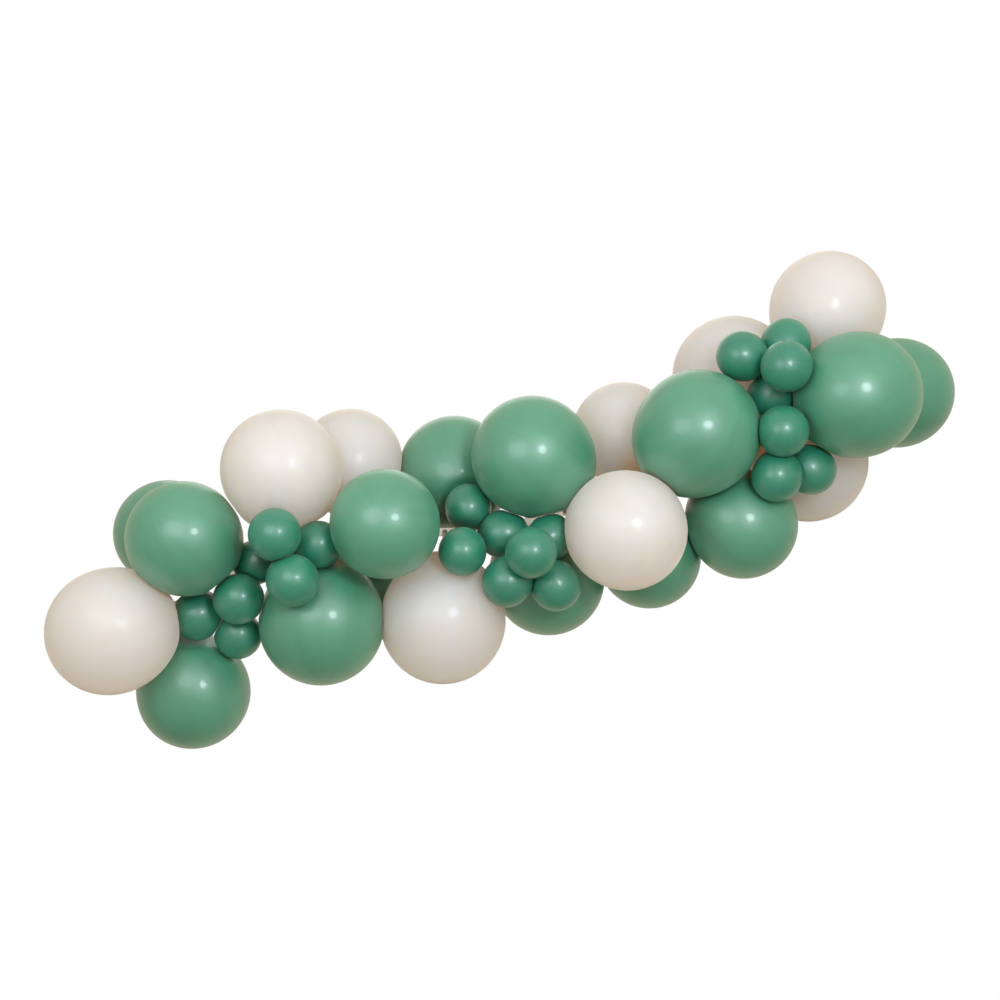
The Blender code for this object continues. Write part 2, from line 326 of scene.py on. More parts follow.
# %% Smooth stretches, and the frame that travels along a line
def smooth_between(points, steps):
    """Points of the smooth curve through the given ones, with this many steps in each stretch."""
    padded = np.vstack([2 * points[0] - points[1], points, 2 * points[-1] - points[-2]])
    curve = []
    for a, b, c, d in zip(padded, padded[1:], padded[2:], padded[3:]):
        for t in np.arange(steps) / steps:
            curve.append(0.5 * (
                2 * b + (c - a) * t + (2 * a - 5 * b + 4 * c - d) * t ** 2
                + (3 * b - a - 3 * c + d) * t ** 3
            ))
    return np.array(curve + [points[-1]])


def soft_larger(a, b, blend):
    """The larger of two values, with a soft change from one to the other."""
    return np.maximum(a, b) + np.maximum(blend - np.abs(a - b), 0) ** 2 / (4 * blend)


def travelling_frames(line):
    """For each point of a line, two directions square to it that turn as little as they can."""
    along = np.gradient(line, axis=0)
    along /= np.linalg.norm(along, axis=1)[:, None]
    side = unit(np.cross(along[0], (0.0, 0.0, 1.0)))
    sides = []
    for direction in along:
        side = unit(side - direction * (side @ direction))
        sides.append(side)
    return np.array(sides), np.cross(along, sides)


# %% The rings of one skin
class Tail:
    """Sizes that differ between a large balloon's tail and a small one's, in metres."""

    def __init__(self, neck_root, neck, knot, lip, length, pleat, ring_step):
        self.neck_root = neck_root      # radius of the neck where it opens into the balloon
        self.neck = neck
        self.knot = knot
        self.lip = lip
        self.length = length            # of the knot with its lip
        self.pleat = pleat              # how deep the creases of the neck are
        self.ring_step = ring_step      # between two rings of the tail


LARGE_TAIL = Tail(
    neck_root=0.022, neck=0.0032, knot=0.0058, lip=0.0050, length=0.013, pleat=0.0009,
    ring_step=0.0013,
)
SMALL_TAIL = Tail(
    neck_root=0.008, neck=0.0016, knot=0.0031, lip=0.0024, length=0.006, pleat=0.0003,
    ring_step=0.0009,
)
BODY_TURN = 150         # degrees of the crown's arc before the rings go by the neck's line
BODY_RINGS = {True: 50, False: 32}          # in that arc, of a large balloon and of a small one
SHOULDER_RINGS = {True: 16, False: 10}      # from there to the neck

# Places along the axis and radii, as shares of the balloon's radius
ROOT_DEPTH = 0.9        # where the neck's cone starts
SHOULDER_BLEND = 0.09   # how softly the ball turns into the cone
FLATS = (0.08, 0.22)    # how wide the neck half is where flats fade out and where they are whole
THICK = (0.72, 1.14)    # where the latex begins to thicken and where it is as thick as the neck
CREASES = (0.96, 1.13)  # where the creases begin and where they are deepest
CROWN_SPOT = 0.075      # how wide the thick spot at the crown is

# Shares of something else
CONE_END = 1.5          # how wide the cone ends, of the neck
CROWN_SLACK = 0.18      # how thick the crown's spot is, of the neck's thickness
NECK_CREASE = 0.5       # how deep the neck's creases are, of the deepest
KNOT_CREASE = 0.25      # how deep the knot's are

# The knot from where it starts: share of its length, and which radius it has, as a share
KNOT_OUTLINE = [
    (0.00, "neck", 1.00), (0.05, "knot", 0.80), (0.16, "knot", 1.00), (0.28, "knot", 0.84),
    (0.38, "knot", 0.98), (0.50, "knot", 0.78), (0.58, "neck", 0.95), (0.68, "neck", 0.90),
    (0.80, "lip", 0.72), (0.90, "lip", 0.94), (0.96, "lip", 1.00), (1.00, "lip", 0.93),
    (0.98, "lip", 0.78), (0.90, "lip", 0.55), (0.86, "lip", 0.20), (0.86, "lip", 0.00),
]


def body_outline(balloon, tail, narrowed):
    """Distance along the axis and radius, from the crown to where the neck has narrowed."""
    radius = balloon.radius
    turn = np.radians(np.linspace(0, BODY_TURN, BODY_RINGS[balloon.large]))
    along = -radius * np.cos(turn) * np.where(turn > np.pi / 2, NECK_STRETCH, 1)
    out = radius * np.sin(turn)
    shoulder = np.linspace(along[-1], narrowed, SHOULDER_RINGS[balloon.large] + 1)[1:]
    ball = radius * np.sqrt(np.maximum(1 - (shoulder / (radius * NECK_STRETCH)) ** 2, 0))
    root = radius * ROOT_DEPTH
    share = np.clip((shoulder - root) / (narrowed - root), 0, 1)
    cone = tail.neck_root + (tail.neck * CONE_END - tail.neck_root) * share
    return np.r_[along, shoulder], np.r_[out, soft_larger(ball, cone, SHOULDER_BLEND * radius)]


def knot_outline(tail):
    sizes = {"neck": tail.neck, "knot": tail.knot, "lip": tail.lip}
    points = [(share * tail.length, sizes[part] * size) for share, part, size in KNOT_OUTLINE]
    return smooth_between(np.array(points), steps=2)


def ease(low, high, value):
    """0 below low, 1 above high and a smooth rise between them."""
    share = np.clip((value - low) / (high - low), 0, 1)
    return share * share * (3 - 2 * share)


def smooth_line(points, directions, step):
    """A line through the points in these directions, with points about this far apart."""
    line = [points[0]]
    for a, b, leaving, arriving in zip(points, points[1:], directions, directions[1:]):
        length = np.linalg.norm(b - a)
        count = max(round(length / step), 2)
        for t in np.arange(1, count + 1) / count:
            line.append(
                a * (1 + 2 * t) * (1 - t) ** 2 + b * t * t * (3 - 2 * t)
                + (leaving * t * (1 - t) ** 2 - arriving * t * t * (1 - t)) * length
            )
    return np.array(line)


def neck_line(balloon, tail):
    """The middle of the neck from where it has narrowed to its knot, and the knot's direction."""
    knot_start, knot_end = balloon.tail[-3][0], balloon.tail[-1][0]
    knot_way = unit(knot_end - knot_start)
    to_tie = np.linalg.norm(knot_start - balloon.middle)
    if not balloon.large:
        narrowed = min(balloon.radius * NECK_STRETCH + tail.neck * 2, to_tie - tail.neck)
        start = balloon.middle + balloon.neck * narrowed
        return smooth_line([start, knot_start], [balloon.neck, knot_way], tail.ring_step), knot_way
    start, beside = balloon.tail[0][0], balloon.tail[1][0]
    turning = unit(unit(beside - start) + unit(knot_start - beside))
    points = [start, beside, knot_start]
    return smooth_line(points, [balloon.neck, turning, knot_way], tail.ring_step), knot_way


def skin_rings(balloon):
    """For each ring of the skin: its middle, two directions across it, and what it is like."""
    tail = LARGE_TAIL if balloon.large else SMALL_TAIL
    neck, knot_way = neck_line(balloon, tail)
    along, out = body_outline(balloon, tail, (neck[0] - balloon.middle) @ balloon.neck)
    body = balloon.middle + np.outer(along, balloon.neck)
    knot_along, knot_out = knot_outline(tail).T
    knot = neck[-1] + np.outer(knot_along, knot_way)
    neck_out = np.linspace(out[-1], tail.neck, len(neck))
    line = np.vstack([body, neck[1:], knot[1:]])
    side, up = travelling_frames(np.vstack([body, neck[1:], neck[-1:] + knot_way * tail.ring_step]))
    repeat = len(line) - len(side)
    side = np.vstack([side, np.repeat(side[-1:], repeat, axis=0)])
    up = np.vstack([up, np.repeat(up[-1:], repeat, axis=0)])
    radius = np.maximum(np.r_[out, neck_out[1:], knot_out[1:]], 0)
    share = along / balloon.radius
    crown = np.exp(-(out / (CROWN_SPOT * balloon.radius)) ** 2) * (along < 0)
    tail_part = np.ones(len(line) - len(body))
    knot_part = np.arange(len(line)) >= len(line) - len(knot_along) + 1
    return {
        "place": line, "side": side, "up": up, "radius": radius,
        "free": np.r_[np.where(along < 0, 1, ease(*FLATS, out / balloon.radius)), 0 * tail_part],
        "slack": np.r_[np.maximum(ease(*THICK, share), CROWN_SLACK * crown), tail_part],
        "pleat": tail.pleat * np.where(
            knot_part, KNOT_CREASE, np.r_[ease(*CREASES, share), NECK_CREASE * tail_part]
        ) * (radius > 0),
        "along": np.r_[along, along[-1] + tail.ring_step * np.cumsum(tail_part)],
    }


sample = skin_rings(balloons[0])
print("rings of one large skin", len(sample["place"]))

# %% [markdown]
# ## Building node trees in a script
# A node tree is easier to read as code when adding a node, setting it and linking it are one
# line. These helpers do that for both geometry and shader trees: a value that is a socket is
# linked, and anything else is typed in.

# %% Helpers for node trees
def fill(tree, node, values):
    """Links or types in a node's inputs, by name or number."""
    for key, value in values.items():
        if isinstance(value, bpy.types.NodeSocket):
            tree.links.new(value, node.inputs[key])
        else:
            node.inputs[key].default_value = value


def put(tree, kind, values=None, **settings):
    """Adds a node, with its settings and its inputs."""
    node = tree.nodes.new(kind)
    for key, value in settings.items():
        setattr(node, key, value)
    fill(tree, node, values or {})
    return node


def calc(tree, operation, *values):
    return put(tree, "ShaderNodeMath", dict(enumerate(values)), operation=operation).outputs[0]


def vector(tree, operation, *values):
    node = put(tree, "ShaderNodeVectorMath", dict(enumerate(values)), operation=operation)
    return node.outputs["Value" if operation == "DOT_PRODUCT" else "Vector"]


def scaled(tree, direction, by):
    values = {"Vector": direction, "Scale": by}
    return put(tree, "ShaderNodeVectorMath", values, operation="SCALE").outputs["Vector"]


def attribute(tree, name, kind="FLOAT"):
    return put(tree, "GeometryNodeInputNamedAttribute", {"Name": name}, data_type=kind).outputs[0]


def sampled(tree, geometry, value, index, kind="FLOAT"):
    values = {"Geometry": geometry, "Value": value, "Index": index}
    return put(tree, "GeometryNodeSampleIndex", values, data_type=kind, domain="POINT").outputs[0]


def stored(tree, geometry, name, value, kind="FLOAT"):
    values = {"Geometry": geometry, "Name": name, "Value": value}
    return put(
        tree, "GeometryNodeStoreNamedAttribute", values, data_type=kind, domain="POINT"
    ).outputs[0]


def geometry_tree(name, inputs):
    """An empty geometry tree with these inputs, and its input and output nodes."""
    tree = bpy.data.node_groups.new(name, "GeometryNodeTree")
    tree.interface.new_socket("Geometry", in_out="INPUT", socket_type="NodeSocketGeometry")
    for label, kind in inputs:
        tree.interface.new_socket(label, in_out="INPUT", socket_type="NodeSocket" + kind)
    tree.interface.new_socket("Geometry", in_out="OUTPUT", socket_type="NodeSocketGeometry")
    return tree, tree.nodes.new("NodeGroupInput").outputs, tree.nodes.new("NodeGroupOutput").inputs


def points_object(name, points):
    """Loose points with attributes: place is where each is, and the rest are stored on it."""
    mesh = bpy.data.meshes.new(name)
    mesh.from_pydata([tuple(place) for place in points["place"]], [], [])
    for label, values in points.items():
        if label == "place":
            continue
        flat = np.asarray(values, np.float32)
        kind = "FLOAT_VECTOR" if flat.ndim == 2 else "FLOAT"
        data = mesh.attributes.new(label, kind, "POINT").data
        data.foreach_set("vector" if flat.ndim == 2 else "value", flat.ravel())
    return added(name, mesh)


def grown(obj, tree, values):
    """The plain mesh that the tree makes from this object, which is then removed."""
    modifier = obj.modifiers.new(tree.name, "NODES")
    modifier.node_group = tree
    for item in tree.interface.items_tree:
        if item.item_type == "SOCKET" and item.in_out == "INPUT" and item.name in values:
            modifier[item.identifier] = values[item.name]
    evaluated = obj.evaluated_get(bpy.context.evaluated_depsgraph_get())
    mesh = bpy.data.meshes.new_from_object(evaluated)
    bpy.data.objects.remove(obj)
    return mesh


# %% [markdown]
# ## The skin as a node tree
# Every balloon follows one rule, so one tree makes them all. A grid has a row for each ring and
# a column for each step round it. Each corner is placed from its ring's middle, directions and
# radius, with creases where the neck is drawn out, and the seam is then closed. After that a
# repeat zone goes through the contacts and lowers whatever stands past each flat. The change
# from round to flat is soft, as rubber is. A turned shape could also be a Screw modifier, but
# that can't follow a bent neck or press flats.

# %% The skin's node tree
EXTRA_PLEATS = 5        # how many more creases the second wave round a neck has
SECOND_WAVE = 0.5       # how deep it is, next to the first
SEAM = 2e-6             # how close corners lie that become one, in metres


def grid_of_rings(tree, rings, sides):
    """A grid with a row for each ring, and for each of its corners its ring and its turn."""
    count = put(tree, "GeometryNodeAttributeDomainSize", {"Geometry": rings}).outputs["Point Count"]
    columns = calc(tree, "ADD", sides, 1)
    grid = put(tree, "GeometryNodeMeshGrid", {"Vertices X": count, "Vertices Y": columns}).outputs["Mesh"]
    index = tree.nodes.new("GeometryNodeInputIndex").outputs[0]
    ring = calc(tree, "FLOOR", calc(tree, "DIVIDE", calc(tree, "ADD", index, 0.5), columns))
    column = calc(tree, "SUBTRACT", index, calc(tree, "MULTIPLY", ring, columns))
    turn = calc(tree, "DIVIDE", calc(tree, "MULTIPLY", column, math.tau), sides)
    return grid, ring, turn


def creased(tree, turn, radius, depth, pleats):
    """The radius with the creases of a drawn-out neck: two waves that aren't in step."""
    first = calc(tree, "COSINE", calc(tree, "MULTIPLY", turn, pleats))
    more_pleats = calc(tree, "ADD", pleats, EXTRA_PLEATS)
    second = calc(tree, "COSINE", calc(tree, "MULTIPLY", turn, more_pleats))
    waves = calc(tree, "MULTIPLY_ADD", second, SECOND_WAVE, first)
    return calc(tree, "MULTIPLY_ADD", waves, depth, radius)


def skin_from_rings(tree, rings, sides, pleats):
    """The closed skin before anything presses on it."""
    grid, ring, turn = grid_of_rings(tree, rings, sides)
    of_ring = {
        name: sampled(tree, rings, attribute(tree, name), ring)
        for name in ("radius", "free", "slack", "pleat", "along")
    }
    side, up = (
        sampled(tree, rings, attribute(tree, name, "FLOAT_VECTOR"), ring, "FLOAT_VECTOR")
        for name in ("side", "up")
    )
    position = tree.nodes.new("GeometryNodeInputPosition").outputs[0]
    middle = sampled(tree, rings, position, ring, "FLOAT_VECTOR")
    cosine, sine = calc(tree, "COSINE", turn), calc(tree, "SINE", turn)
    outward = vector(tree, "ADD", scaled(tree, side, cosine), scaled(tree, up, sine))
    radius = creased(tree, turn, of_ring["radius"], of_ring["pleat"], pleats)
    place = vector(tree, "ADD", middle, scaled(tree, outward, radius))
    round_way = put(tree, "ShaderNodeCombineXYZ", {0: cosine, 1: sine, 2: of_ring["along"]}).outputs[0]
    grid = stored(tree, grid, "free", of_ring["free"])
    grid = stored(tree, grid, "slack", of_ring["slack"])
    grid = stored(tree, grid, "round", round_way, "FLOAT_VECTOR")
    skin = put(tree, "GeometryNodeSetPosition", {"Geometry": grid, "Position": place}).outputs[0]
    whole = put(tree, "GeometryNodeMergeByDistance", {"Geometry": skin, "Distance": SEAM}).outputs[0]
    return put(tree, "GeometryNodeFlipFaces", {"Mesh": whole}).outputs[0]


def pressed(tree, skin, contacts, softness, rounds):
    """The skin lowered to each of its flats, with a soft change from round to flat."""
    count = put(tree, "GeometryNodeAttributeDomainSize", {"Geometry": contacts}).outputs["Point Count"]
    enter = tree.nodes.new("GeometryNodeRepeatInput")
    leave = tree.nodes.new("GeometryNodeRepeatOutput")
    enter.pair_with_output(leave)
    tree.links.new(calc(tree, "MULTIPLY", count, rounds), enter.inputs["Iterations"])
    tree.links.new(skin, enter.inputs["Geometry"])
    number = calc(tree, "MODULO", enter.outputs["Iteration"], count)
    position = tree.nodes.new("GeometryNodeInputPosition").outputs[0]
    on_flat = sampled(tree, contacts, position, number, "FLOAT_VECTOR")
    facing = sampled(
        tree, contacts, attribute(tree, "facing", "FLOAT_VECTOR"), number, "FLOAT_VECTOR"
    )
    past = vector(tree, "DOT_PRODUCT", vector(tree, "SUBTRACT", position, on_flat), facing)
    shy = calc(tree, "MAXIMUM", calc(tree, "SUBTRACT", softness, calc(tree, "ABSOLUTE", past)), 0)
    rounding = calc(
        tree, "DIVIDE", calc(tree, "MULTIPLY", shy, shy), calc(tree, "MULTIPLY", softness, 4)
    )
    lower = calc(tree, "ADD", calc(tree, "MAXIMUM", past, 0), rounding)
    inward = calc(tree, "MULTIPLY", attribute(tree, "free"), -1)
    offset = scaled(tree, facing, calc(tree, "MULTIPLY", lower, inward))
    moved = put(
        tree, "GeometryNodeSetPosition", {"Geometry": enter.outputs["Geometry"], "Offset": offset}
    ).outputs[0]
    tree.links.new(moved, leave.inputs["Geometry"])
    return leave.outputs["Geometry"]


def skin_tree():
    tree, given, made = geometry_tree("blown_skin", [
        ("Contacts", "Object"), ("Sides", "Int"), ("Pleats", "Int"), ("Softness", "Float"),
        ("Rounds", "Int"), ("Latex", "Material"),
    ])
    contacts = put(tree, "GeometryNodeObjectInfo", {"Object": given["Contacts"]}).outputs["Geometry"]
    skin = skin_from_rings(tree, given["Geometry"], given["Sides"], given["Pleats"])
    skin = pressed(tree, skin, contacts, given["Softness"], given["Rounds"])
    skin = put(tree, "GeometryNodeSetShadeSmooth", {"Geometry": skin}).outputs[0]
    skin = put(tree, "GeometryNodeRemoveAttribute", {"Geometry": skin, "Name": "free"}).outputs[0]
    skin = put(tree, "GeometryNodeRealizeInstances", {"Geometry": skin}).outputs[0]
    skin = put(tree, "GeometryNodeSetMaterial", {"Geometry": skin, "Material": given["Latex"]}).outputs[0]
    tree.links.new(skin, made["Geometry"])
    return tree


blown_skin = skin_tree()
print("skin tree", len(blown_skin.nodes), "nodes")

# %% [markdown]
# ## Latex
# Balloon latex is dyed in the mass. Blown up it gets thin, so its colour is pale and milky and
# light gets into it. At the neck, the knot and a small spot on the crown it stays thick and
# deep. Its skin is satin: a clear little glint of the lamp over a wide soft one. The small
# balloons are blown up less, so theirs is the deeper green. One flat colour would be quicker,
# but then the neck and the crown would look as thin as the rest. So one node group makes the
# colour, the roughness and the fine relief that all three latexes share.

# %% The group that all latex shares
STREAKS = (3.0, 3.0, 2.0)   # how fine the streaks are round the balloon and along it
CLOUDS = 9.0                # how fine the cloudy patches are
GRAIN = 900.0               # how fine the grain is
UNEVEN = 0.55               # how much streaks and clouds change the depth of colour
PALER = 0.50                # taken off that, so that well blown latex stays pale
GRAIN_ROUGHNESS = 0.10      # how much the grain changes the roughness
STREAK_RELIEF = 0.3         # how much the streaks stand out, next to the grain


def shader_group(name, inputs, outputs):
    group = bpy.data.node_groups.new(name, "ShaderNodeTree")
    for label, kind, value in inputs:
        socket = group.interface.new_socket(label, in_out="INPUT", socket_type="NodeSocket" + kind)
        socket.default_value = value
    for label, kind in outputs:
        group.interface.new_socket(label, in_out="OUTPUT", socket_type="NodeSocket" + kind)
    return group, group.nodes.new("NodeGroupInput").outputs, group.nodes.new("NodeGroupOutput").inputs


def mixed(tree, factor, a, b):
    """Two colours mixed."""
    return put(tree, "ShaderNodeMix", {0: factor, 6: a, 7: b}, data_type="RGBA").outputs[2]


def new_finish(name):
    """A new material, its node tree and its main shader."""
    material = bpy.data.materials.new(name)
    material.use_nodes = True
    return material, material.node_tree, material.node_tree.nodes["Principled BSDF"]


def noise(tree, coordinates, scale, detail):
    values = {"Vector": coordinates, "Scale": scale, "Detail": detail}
    return put(tree, "ShaderNodeTexNoise", values).outputs["Fac"]


def latex_group():
    """Colour, roughness and relief of blown latex."""
    group, given, made = shader_group(
        "blown_latex",
        [("Thin Colour", "Color", (1, 1, 1, 1)), ("Thick Colour", "Color", (1, 1, 1, 1)),
         ("Roughness", "Float", 0.4)],
        [("Colour", "Color"), ("Roughness", "Float"), ("Relief", "Float")],
    )
    slack = put(group, "ShaderNodeAttribute", attribute_name="slack").outputs["Fac"]
    round_way = put(group, "ShaderNodeAttribute", attribute_name="round").outputs["Vector"]
    place = group.nodes.new("ShaderNodeTexCoord").outputs["Object"]
    streaks = noise(group, vector(group, "MULTIPLY", round_way, STREAKS), scale=1.0, detail=3.0)
    clouds = noise(group, place, scale=CLOUDS, detail=2.0)
    grain = noise(group, place, scale=GRAIN, detail=2.0)
    uneven = calc(group, "MULTIPLY", calc(group, "ADD", streaks, clouds), UNEVEN)
    depth = calc(group, "ADD", slack, calc(group, "SUBTRACT", uneven, PALER))
    depth = calc(group, "MINIMUM", calc(group, "MAXIMUM", depth, 0), 1)
    colour = mixed(group, depth, given["Thin Colour"], given["Thick Colour"])
    group.links.new(colour, made["Colour"])
    centred = calc(group, "SUBTRACT", grain, 0.5)
    rough = calc(group, "MULTIPLY_ADD", centred, GRAIN_ROUGHNESS, given["Roughness"])
    group.links.new(rough, made["Roughness"])
    relief = calc(group, "MULTIPLY_ADD", streaks, STREAK_RELIEF, grain)
    group.links.new(relief, made["Relief"])
    return group


blown_latex = latex_group()
print("latex group", len(blown_latex.nodes), "nodes")

# %% [markdown]
# ## Three latexes
# The greens are dyed deep and nearly opaque. The cream has little dye in it: most light goes
# into it and comes out again near by, some passes right through, and a faint powdery sheen
# shows at its edges. A Translucent shader mixed in gives the part that passes through, which is
# deeper in colour where the latex is thick. Alpha or glass would also show what lies behind the
# balloon, which the real latex hides.

# %% The three latexes
COAT_SHARE = 0.38       # how much of the gloss is the coat that makes the clear glint


def latex(name, thin, thick, roughness, milkiness, reach, gloss, bloom, through=0.0):
    """A latex finish, with its colours where it is blown thin and where it stays thick.

    milkiness is how much light goes into it and reach how far, in metres; bloom is its sheen
    at the edges, and through is how much light passes right through it.
    """
    material, tree, shader = new_finish(name)
    group = put(tree, "ShaderNodeGroup", node_tree=blown_latex)
    fill(tree, group, {
        "Thin Colour": (*thin, 1), "Thick Colour": (*thick, 1), "Roughness": roughness,
    })
    relief = put(tree, "ShaderNodeBump", {
        "Height": group.outputs["Relief"], "Strength": 0.06, "Distance": 0.0005,
    })
    fill(tree, shader, {
        "Base Color": group.outputs["Colour"], "Roughness": group.outputs["Roughness"],
        "Normal": relief.outputs["Normal"], "IOR": 1.65, "Specular IOR Level": gloss,
        "Subsurface Weight": milkiness, "Subsurface Scale": reach,
        "Subsurface Radius": (1.0, 0.75, 0.5), "Coat Weight": COAT_SHARE * gloss,
        "Coat Roughness": 0.12, "Sheen Weight": bloom, "Sheen Roughness": 0.5,
        "Sheen Tint": (1.0, 0.91, 0.79, 1),
    })
    if through:
        slack = put(tree, "ShaderNodeAttribute", attribute_name="slack").outputs["Fac"]
        inside = mixed(tree, slack, (*thin, 1), (*thick, 1))
        passing = put(tree, "ShaderNodeBsdfTranslucent", {"Color": inside})
        both = put(tree, "ShaderNodeMixShader", {
            0: through, 1: shader.outputs["BSDF"], 2: passing.outputs["BSDF"],
        })
        tree.links.new(both.outputs["Shader"], tree.nodes["Material Output"].inputs["Surface"])
    return material


LATEXES = {
    "cream_latex": latex(
        "cream_latex", thin=(0.985, 0.865, 0.835), thick=(0.88, 0.64, 0.44), roughness=0.48,
        milkiness=1.0, reach=0.25, gloss=0.7, bloom=1.0, through=0.30,
    ),
    "green_latex": latex(
        "green_latex", thin=(0.068, 0.312, 0.180), thick=(0.008, 0.115, 0.050), roughness=0.48,
        milkiness=0.25, reach=0.03, gloss=1.0, bloom=0.05,
    ),
    "deep_green_latex": latex(
        "deep_green_latex", thin=(0.016, 0.238, 0.142), thick=(0.004, 0.080, 0.042),
        roughness=0.45, milkiness=0.15, reach=0.015, gloss=0.8, bloom=0.05,
    ),
}
print("latexes", sorted(LATEXES))

# %% [markdown]
# ## Blowing up the balloons
# Each balloon's rings and contacts go through the tree, and the mesh that comes out takes the
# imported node's place. A large skin gets more sides than a small one, so that the edges of both
# look round at the same distance.

# %% Every balloon's skin
PRESS_ROUNDS = 3        # how often each contact has its turn

# Of a large balloon and of a small one
SIDES = {True: 96, False: 56}
PLEATS = {True: 11, False: 7}               # creases round the neck
SOFTNESS = {True: 0.003, False: 0.002}      # of the change from round to flat, in metres


def latex_of(balloon):
    if not balloon.large:
        return "deep_green_latex"
    return "cream_latex" if "cream" in balloon.name else "green_latex"


def blown_up(balloon):
    """The finished skin of one balloon, in its node's place."""
    rings = points_object(balloon.name + "_rings", skin_rings(balloon))
    facing = np.array([way for way, _ in balloon.presses])
    room = np.array([room for _, room in balloon.presses])
    contacts = points_object(balloon.name + "_contacts", {
        "place": balloon.middle + facing * room[:, None], "facing": facing,
    })
    mesh = grown(rings, blown_skin, {
        "Contacts": contacts, "Sides": SIDES[balloon.large], "Pleats": PLEATS[balloon.large],
        "Softness": SOFTNESS[balloon.large], "Rounds": PRESS_ROUNDS,
        "Latex": LATEXES[latex_of(balloon)],
    })
    bpy.data.objects.remove(contacts)
    skin = added(balloon.name + "_skin", mesh)
    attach(skin, "root")
    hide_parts(balloon.name)
    return skin


skins = [blown_up(balloon) for balloon in balloons]
print("skins", len(skins), "faces", sum(len(skin.data.polygons) for skin in skins))

# %% [markdown]
# ## The strip
# The strip is a flat extruded ribbon of clear vinyl with rounded edges and a row of punched
# holes. It is made as the factory makes it: a profile is drawn along the line, and then the
# holes are punched, here with one round punch copied to each hole's place. The ribbon lies by
# the direction across that was measured, because a curve's own twist would turn it.

# %% The strip's node tree
PUNCH_DEPTH = 0.006     # well over the strip's thickness
EDGE_ROUNDING = 0.0004  # radius of the strip's edges
STRIP_STEP = 0.004      # between two cross-sections
BEND_RADIUS = 0.04      # the strip bends no tighter than this where it has the room
CRISP_ANGLE = 40        # degrees past which an edge is shown crisp


def ribbon(tree, route, width, thickness):
    """A profile with rounded edges drawn along the route, lying by its direction across."""
    curve = put(tree, "GeometryNodeMeshToCurve", {"Mesh": route}).outputs[0]
    curve = put(tree, "GeometryNodeFilletCurve", {
        "Curve": curve, "Count": 6, "Radius": BEND_RADIUS, "Limit Radius": True,
    }, mode="POLY").outputs[0]
    curve = put(tree, "GeometryNodeResampleCurve", {
        "Curve": curve, "Length": STRIP_STEP,
    }, mode="LENGTH").outputs[0]
    across = attribute(tree, "across", "FLOAT_VECTOR")
    curve = put(tree, "GeometryNodeSetCurveNormal", {
        "Curve": curve, "Normal": across,
    }, mode="FREE").outputs[0]
    bar = put(tree, "GeometryNodeCurvePrimitiveQuadrilateral", {"Width": width, "Height": thickness})
    rounded = put(tree, "GeometryNodeFilletCurve", {
        "Curve": bar.outputs[0], "Count": 3, "Radius": EDGE_ROUNDING,
    }, mode="POLY").outputs[0]
    values = {"Curve": curve, "Profile Curve": rounded, "Fill Caps": True}
    return put(tree, "GeometryNodeCurveToMesh", values).outputs[0]


def punches(tree, holes, radius):
    """A round punch at each hole, square to the strip there."""
    punch = put(tree, "GeometryNodeMeshCylinder", {"Vertices": 32, "Radius": radius, "Depth": PUNCH_DEPTH})
    facing = attribute(tree, "facing", "FLOAT_VECTOR")
    turned = put(tree, "FunctionNodeAlignRotationToVector", {"Vector": facing}, axis="Z").outputs[0]
    values = {"Points": holes, "Instance": punch.outputs["Mesh"], "Rotation": turned}
    copies = put(tree, "GeometryNodeInstanceOnPoints", values).outputs[0]
    return put(tree, "GeometryNodeRealizeInstances", {"Geometry": copies}).outputs[0]


def strip_tree():
    tree, given, made = geometry_tree("punched_strip", [
        ("Holes", "Object"), ("Width", "Float"), ("Thickness", "Float"), ("Hole Radius", "Float"),
        ("Plastic", "Material"),
    ])
    holes = put(tree, "GeometryNodeObjectInfo", {"Object": given["Holes"]}).outputs["Geometry"]
    blank = ribbon(tree, given["Geometry"], given["Width"], given["Thickness"])
    punched = put(tree, "GeometryNodeMeshBoolean", {
        "Mesh 1": blank, "Mesh 2": punches(tree, holes, given["Hole Radius"]),
    }, operation="DIFFERENCE", solver="EXACT").outputs[0]
    smooth = put(tree, "GeometryNodeSetShadeSmooth", {"Geometry": punched}).outputs[0]
    bend = put(tree, "GeometryNodeInputMeshEdgeAngle").outputs["Unsigned Angle"]
    values = {"A": bend, "B": math.radians(CRISP_ANGLE)}
    edge = put(tree, "FunctionNodeCompare", values, operation="GREATER_THAN").outputs[0]
    values = {"Geometry": smooth, "Selection": edge, "Shade Smooth": False}
    crisp = put(tree, "GeometryNodeSetShadeSmooth", values, domain="EDGE").outputs[0]
    whole = put(tree, "GeometryNodeRealizeInstances", {"Geometry": crisp}).outputs[0]
    values = {"Geometry": whole, "Material": given["Plastic"]}
    whole = put(tree, "GeometryNodeSetMaterial", values).outputs[0]
    tree.links.new(whole, made["Geometry"])
    return tree


punched_strip = strip_tree()
print("strip tree", len(punched_strip.nodes), "nodes")

# %% [markdown]
# ## Clear plastic
# The strip is soft vinyl: clear, faintly grey, slightly wavy, and rubbed in patches that blur
# what is behind. A pale grey would nearly do, as the strip is thin and mostly hidden, but the
# balloons behind it show through the real one, so most of the light is let through.

# %% Clear plastic
CLEAR_ROUGHNESS = 0.02
RUBBED_ROUGHNESS = 0.30     # how much rougher the strip is where it is rubbed


